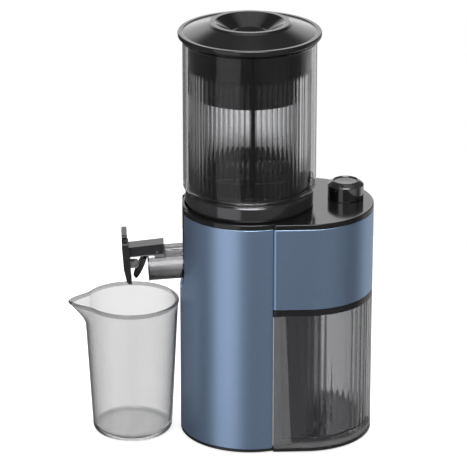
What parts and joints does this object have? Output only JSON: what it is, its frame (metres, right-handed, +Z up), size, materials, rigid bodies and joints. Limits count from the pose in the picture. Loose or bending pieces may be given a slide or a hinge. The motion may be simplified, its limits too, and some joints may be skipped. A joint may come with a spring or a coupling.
{
  "type": "cold press juicer",
  "caption": "Upright slow juicer: round blue body, black top with a knob, fluted clear food tube under a dished lid, spout with drip lever, slide-out pulp container and cup.",
  "frame": {"origin": "middle of the footprint on the table, cup included", "axes": "+Z up, spout points to -X, pulp container slides out to +X, front is -Y"},
  "size_m": [0.3314, 0.152, 0.4634],
  "materials": {
    "lid_gloss_black": "glossy black",
    "clear_plastic": "clear, faintly grey",
    "smoke_clear": "smoky grey, see-through",
    "smoke_drum": "dark smoky grey, see-through",
    "cup_clear": "frosted clear",
    "black_gloss": "glossy black",
    "black_matte": "satin black",
    "lever_grey": "dark grey, half gloss",
    "blue_shell": "satin metallic blue paint on moulded plastic",
    "soft_black": "matte black rubber",
    "soft_grey": "grey silicone",
    "nylon": "natural nylon",
    "auger_plastic": "satin dark grey",
    "steel": "bright steel",
    "lamination": "stacked steel sheet",
    "copper": "enamelled copper wire",
    "aluminium": "die cast",
    "board_green": "circuit board",
    "white_plastic": "white can"
  },
  "bodies": {
    "base": {"top_plate": "black_gloss", "left_shell": "blue_shell", "right_panel": "blue_shell", "chassis": "black_matte", "drum_well": "black_matte", "pulp_chute": "black_matte", "base_tray": "black_matte", "feet": "soft_black", "base_screws": "steel", "rotary_switch": "black_matte", "control_board": "board_green", "hall_sensor": "black_matte", "power_inlet": "black_matte", "capacitor": "white_plastic", "motor_case": "aluminium", "end_plate": "aluminium", "stator_core": "lamination", "windings": "copper", "lower_bearing": "steel", "upper_bearing": "steel", "gearbox_housing": "aluminium", "ring_gear": "nylon", "output_bearing": "steel", "shaft_seal": "soft_black", "rubber_mounts": "soft_black", "gearbox_screws": "steel"},
    "rotor": {"rotor": "steel", "fan": "black_matte"},
    "carrier": {"planet_carrier": "steel"},
    "planet_1": {"planet_gear_1": "nylon"},
    "planet_2": {"planet_gear_2": "nylon"},
    "planet_3": {"planet_gear_3": "nylon"},
    "knob": {"knob": "black_gloss", "switch_shaft": "steel"},
    "container": {"pulp_container": "smoke_clear"},
    "drum": {"drum": "smoke_drum", "drum_seal": "soft_grey", "spout_apron": "black_matte"},
    "lever": {"drip_lever": "lever_grey", "lever_pin": "steel", "stopper_pin": "steel"},
    "stopper": {"stopper": "soft_black"},
    "strainer": {"strainer_frame": "black_matte", "strainer_screen": "steel"},
    "auger": {"auger": "auger_plastic", "auger_socket": "steel", "cutting_wing": "auger_plastic"},
    "gasket": {"hopper_gasket": "soft_grey"},
    "hopper": {"hopper_tube": "clear_plastic", "hopper_flutes": "smoke_clear", "hopper_bowl": "black_gloss"},
    "interlock": {"interlock_bar": "black_gloss", "interlock_magnet": "steel"},
    "lid": {"lid": "lid_gloss_black", "lid_skirt": "black_gloss", "lid_seal": "soft_grey"},
    "cup": {"juice_cup": "cup_clear"}
  },
  "joints": [
    {"name": "motor_spin", "type": "hinge", "parent": "base", "child": "rotor", "pos_m": [0.03225, 0, 0.06], "axis": [0, 0, 1], "continuous": true},
    {"name": "drive_spin", "type": "hinge", "parent": "base", "child": "carrier", "pos_m": [0.03225, 0, 0.14], "axis": [0, 0, 1], "continuous": true},
    {"name": "planet_1_spin", "type": "hinge", "parent": "carrier", "child": "planet_1", "pos_m": [0.05475, 0, 0.12], "axis": [0, 0, 1], "continuous": true},
    {"name": "planet_2_spin", "type": "hinge", "parent": "carrier", "child": "planet_2", "pos_m": [0.021, 0.01949, 0.12], "axis": [0, 0, 1], "continuous": true},
    {"name": "planet_3_spin", "type": "hinge", "parent": "carrier", "child": "planet_3", "pos_m": [0.021, -0.01949, 0.12], "axis": [0, 0, 1], "continuous": true},
    {"name": "knob_turn", "type": "hinge", "parent": "base", "child": "knob", "pos_m": [0.13625, 0.009, 0.27], "axis": [0, 0, 1], "range_deg": [-45, 45]},
    {"name": "container_slide", "type": "slide", "parent": "base", "child": "container", "axis": [1, 0, 0], "range_m": [0, 0.125]},
    {"name": "drum_lift", "type": "slide", "parent": "base", "child": "drum", "axis": [0, 0, 1], "range_m": [0, 0.11]},
    {"name": "lever_turn", "type": "hinge", "parent": "drum", "child": "lever", "pos_m": [-0.06749, 0, 0.20953], "axis": [0, 1, 0], "range_deg": [-18, 0]},
    {"name": "stopper_turn", "type": "hinge", "parent": "lever", "child": "stopper", "pos_m": [-0.09056, 0, 0.1938], "axis": [0, 1, 0], "range_deg": [-12, 0]},
    {"name": "strainer_lift", "type": "slide", "parent": "drum", "child": "strainer", "axis": [0, 0, 1], "range_m": [0, 0.09]},
    {"name": "auger_spin", "type": "hinge", "parent": "strainer", "child": "auger", "pos_m": [0.03225, 0, 0.22], "axis": [0, 0, 1], "continuous": true},
    {"name": "hopper_lift", "type": "slide", "parent": "drum", "child": "gasket", "axis": [0, 0, 1], "range_m": [0, 0.15]},
    {"name": "hopper_turn", "type": "hinge", "parent": "gasket", "child": "hopper", "pos_m": [0.03225, 0, 0.3], "axis": [0, 0, 1], "range_deg": [0, 30]},
    {"name": "interlock_press", "type": "slide", "parent": "hopper", "child": "interlock", "axis": [0, 0, 1], "range_m": [-0.0025, 0], "stiffness_N_per_m": 200, "springref_m": 0.002},
    {"name": "lid_lift", "type": "slide", "parent": "hopper", "child": "lid", "axis": [0, 0, 1], "range_m": [0, 0.08]},
    {"name": "cup_slide", "type": "slide", "parent": "base", "child": "cup", "axis": [-1, 0, 0], "range_m": [0, 0.1]}
  ],
  "couplings": [
    {"joint": "drive_spin", "follows": "motor_spin", "ratio": 0.2},
    {"joint": "planet_1_spin", "follows": "motor_spin", "ratio": -0.53333},
    {"joint": "planet_2_spin", "follows": "motor_spin", "ratio": -0.53333},
    {"joint": "planet_3_spin", "follows": "motor_spin", "ratio": -0.53333},
    {"joint": "auger_spin", "follows": "motor_spin", "ratio": 0.2},
    {"joint": "stopper_turn", "follows": "lever_turn", "ratio": 0.66667}
  ]
}
